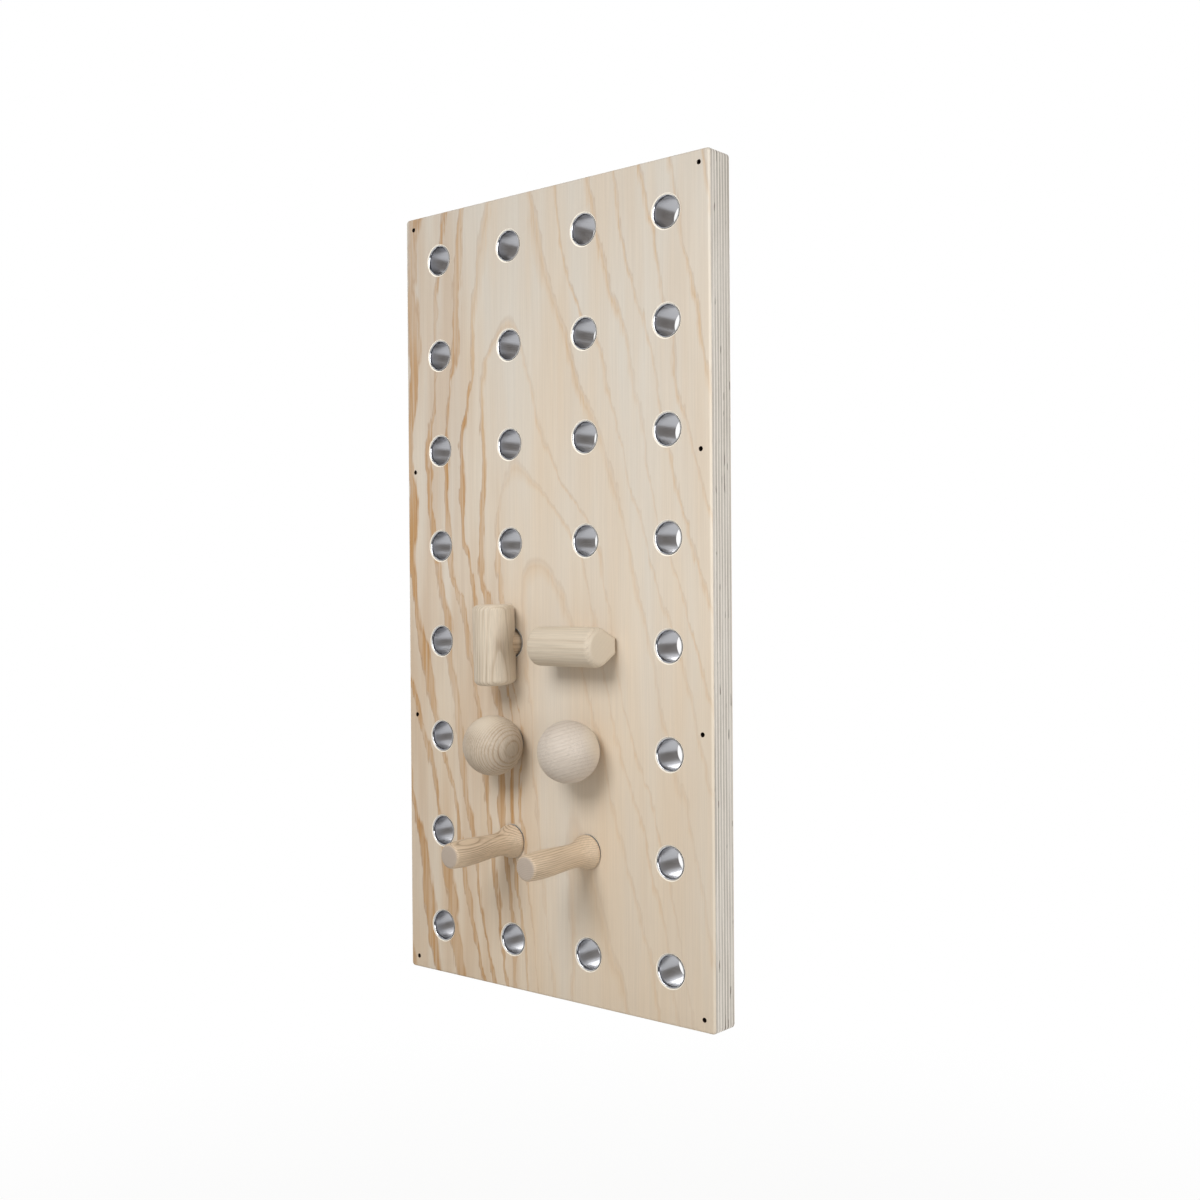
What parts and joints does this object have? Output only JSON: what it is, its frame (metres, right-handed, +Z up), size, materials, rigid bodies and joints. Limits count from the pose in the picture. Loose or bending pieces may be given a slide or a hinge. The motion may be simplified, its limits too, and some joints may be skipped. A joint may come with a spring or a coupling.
{
  "type": "climbing pegboard",
  "caption": "Wall-mounted plywood panel with a grid of metal-lined round holes and removable wooden pegs with ball, bar and straight turned handles.",
  "frame": {"origin": "middle of the panel's back face, which lies on the wall", "axes": "+Z up, +Y into the wall, -Y towards the climber, +X to the climber's right"},
  "size_m": [0.6, 0.1816, 1.2],
  "materials": {
    "plywood": "sanded softwood plywood, clear matt lacquer",
    "sleeve_metal": "drawn tube, satin bore, polished lip",
    "grip_wood": "planed and sanded, unfinished",
    "ball_wood": "turned and sanded, unfinished",
    "turned_wood": "turned and sanded, unfinished",
    "dowel_wood": "machined dowel, unfinished"
  },
  "bodies": {
    "board": {"board": "plywood", "sleeve_r1_c1": "sleeve_metal", "sleeve_r1_c2": "sleeve_metal", "sleeve_r1_c3": "sleeve_metal", "sleeve_r1_c4": "sleeve_metal", "sleeve_r2_c1": "sleeve_metal", "sleeve_r2_c2": "sleeve_metal", "sleeve_r2_c3": "sleeve_metal", "sleeve_r2_c4": "sleeve_metal", "sleeve_r3_c1": "sleeve_metal", "sleeve_r3_c2": "sleeve_metal", "sleeve_r3_c3": "sleeve_metal", "sleeve_r3_c4": "sleeve_metal", "sleeve_r4_c1": "sleeve_metal", "sleeve_r4_c2": "sleeve_metal", "sleeve_r4_c3": "sleeve_metal", "sleeve_r4_c4": "sleeve_metal", "sleeve_r5_c1": "sleeve_metal", "sleeve_r5_c2": "sleeve_metal", "sleeve_r5_c3": "sleeve_metal", "sleeve_r5_c4": "sleeve_metal", "sleeve_r6_c1": "sleeve_metal", "sleeve_r6_c2": "sleeve_metal", "sleeve_r6_c3": "sleeve_metal", "sleeve_r6_c4": "sleeve_metal", "sleeve_r7_c1": "sleeve_metal", "sleeve_r7_c2": "sleeve_metal", "sleeve_r7_c3": "sleeve_metal", "sleeve_r7_c4": "sleeve_metal", "sleeve_r8_c1": "sleeve_metal", "sleeve_r8_c2": "sleeve_metal", "sleeve_r8_c3": "sleeve_metal", "sleeve_r8_c4": "sleeve_metal"},
    "upright_grip_peg": {"upright_grip": "grip_wood", "upright_grip_dowel": "dowel_wood"},
    "level_grip_peg": {"level_grip": "grip_wood", "level_grip_dowel": "dowel_wood"},
    "ball_peg_left": {"ball_left": "ball_wood", "ball_left_dowel": "dowel_wood"},
    "ball_peg_right": {"ball_right": "ball_wood", "ball_right_dowel": "dowel_wood"},
    "straight_peg_left": {"straight_peg_left": "turned_wood"},
    "straight_peg_right": {"straight_peg_right": "turned_wood"}
  },
  "joints": [
    {"name": "upright_grip_peg_pull", "type": "slide", "parent": "board", "child": "upright_grip_peg", "axis": [0, -1, 0], "range_m": [0, 0.06]},
    {"name": "level_grip_peg_pull", "type": "slide", "parent": "board", "child": "level_grip_peg", "axis": [0, -1, 0], "range_m": [0, 0.06]},
    {"name": "ball_peg_left_pull", "type": "slide", "parent": "board", "child": "ball_peg_left", "axis": [0, -1, 0], "range_m": [0, 0.06]},
    {"name": "ball_peg_right_pull", "type": "slide", "parent": "board", "child": "ball_peg_right", "axis": [0, -1, 0], "range_m": [0, 0.06]},
    {"name": "straight_peg_left_pull", "type": "slide", "parent": "board", "child": "straight_peg_left", "axis": [0, -1, 0], "range_m": [0, 0.06]},
    {"name": "straight_peg_right_pull", "type": "slide", "parent": "board", "child": "straight_peg_right", "axis": [0, -1, 0], "range_m": [0, 0.06]}
  ]
}
